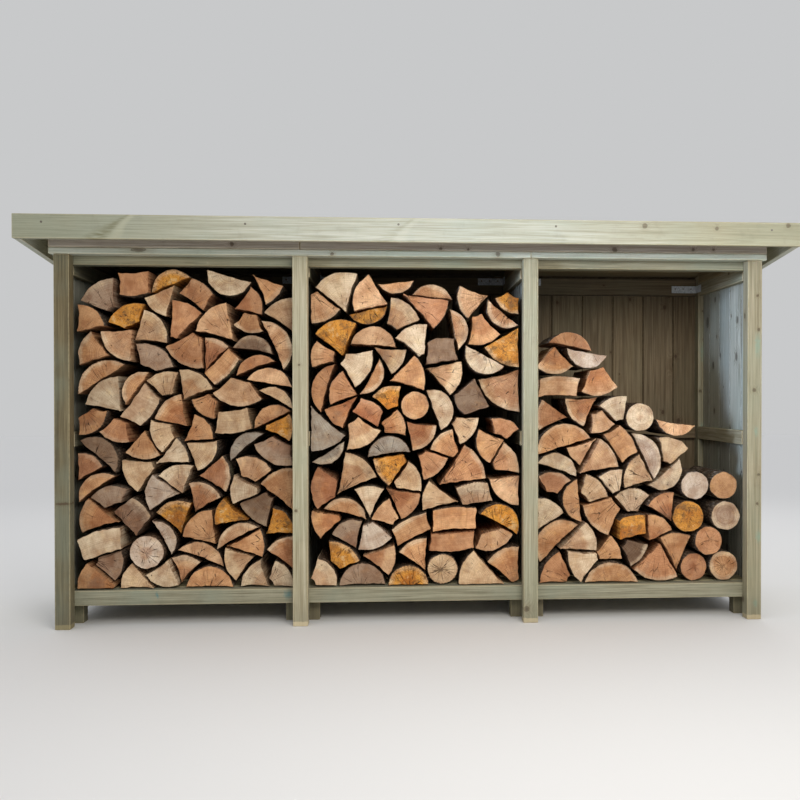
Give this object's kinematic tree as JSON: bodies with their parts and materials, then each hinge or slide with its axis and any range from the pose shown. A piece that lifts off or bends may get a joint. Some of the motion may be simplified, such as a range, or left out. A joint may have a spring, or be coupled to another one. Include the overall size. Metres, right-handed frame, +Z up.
{
  "type": "log store",
  "caption": "Open-fronted timber log store in three bays with a pent roof of lapped boards, boarded back, ends and partitions, slatted floor and stacked split firewood.",
  "frame": {"origin": "on the ground, in the middle of the roof's outline", "axes": "+X along the front to the right, +Y from the front to the back, +Z up"},
  "size_m": [2.27, 0.745, 1.1959],
  "materials": {
    "frame_timber": "planed, pressure treated softwood",
    "bearer_timber": "planed, pressure treated softwood, browner",
    "roof_timber": "planed, pressure treated softwood",
    "wall_boards": "matchboard, pressure treated softwood",
    "floor_timber": "planed, pressure treated softwood",
    "split_firewood": "sawn ends, cleft faces and bark",
    "galvanised_steel": "galvanised sheet"
  },
  "bodies": {
    "root": {"angle_plates": "galvanised_steel", "back_boards": "wall_boards", "back_floor_battens": "frame_timber", "back_middle_battens": "frame_timber", "back_top_battens": "frame_timber", "fascia": "roof_timber", "firewood_left_1": "split_firewood", "firewood_left_2": "split_firewood", "firewood_left_3": "split_firewood", "firewood_left_4": "split_firewood", "firewood_middle_1": "split_firewood", "firewood_middle_2": "split_firewood", "firewood_middle_3": "split_firewood", "firewood_middle_4": "split_firewood", "firewood_right_1": "split_firewood", "firewood_right_2": "split_firewood", "firewood_right_3": "split_firewood", "firewood_right_4": "split_firewood", "floor_bearers": "floor_timber", "floor_legs": "floor_timber", "front_bearer": "bearer_timber", "front_floor_rail": "floor_timber", "front_post_left": "frame_timber", "front_post_mid_left": "frame_timber", "front_post_mid_right": "frame_timber", "front_post_right": "frame_timber", "front_top_rail": "frame_timber", "left_bargeboard": "roof_timber", "left_end_battens": "frame_timber", "left_end_boards": "wall_boards", "left_floor_slats": "floor_timber", "left_partition_battens": "frame_timber", "left_partition_boards": "wall_boards", "middle_floor_slats": "floor_timber", "post_cap_strip": "frame_timber", "rafters": "frame_timber", "right_bargeboard": "roof_timber", "right_end_battens": "frame_timber", "right_end_boards": "wall_boards", "right_floor_slats": "floor_timber", "right_partition_battens": "frame_timber", "right_partition_boards": "wall_boards", "roof_boards": "roof_timber"}
  },
  "joints": []
}
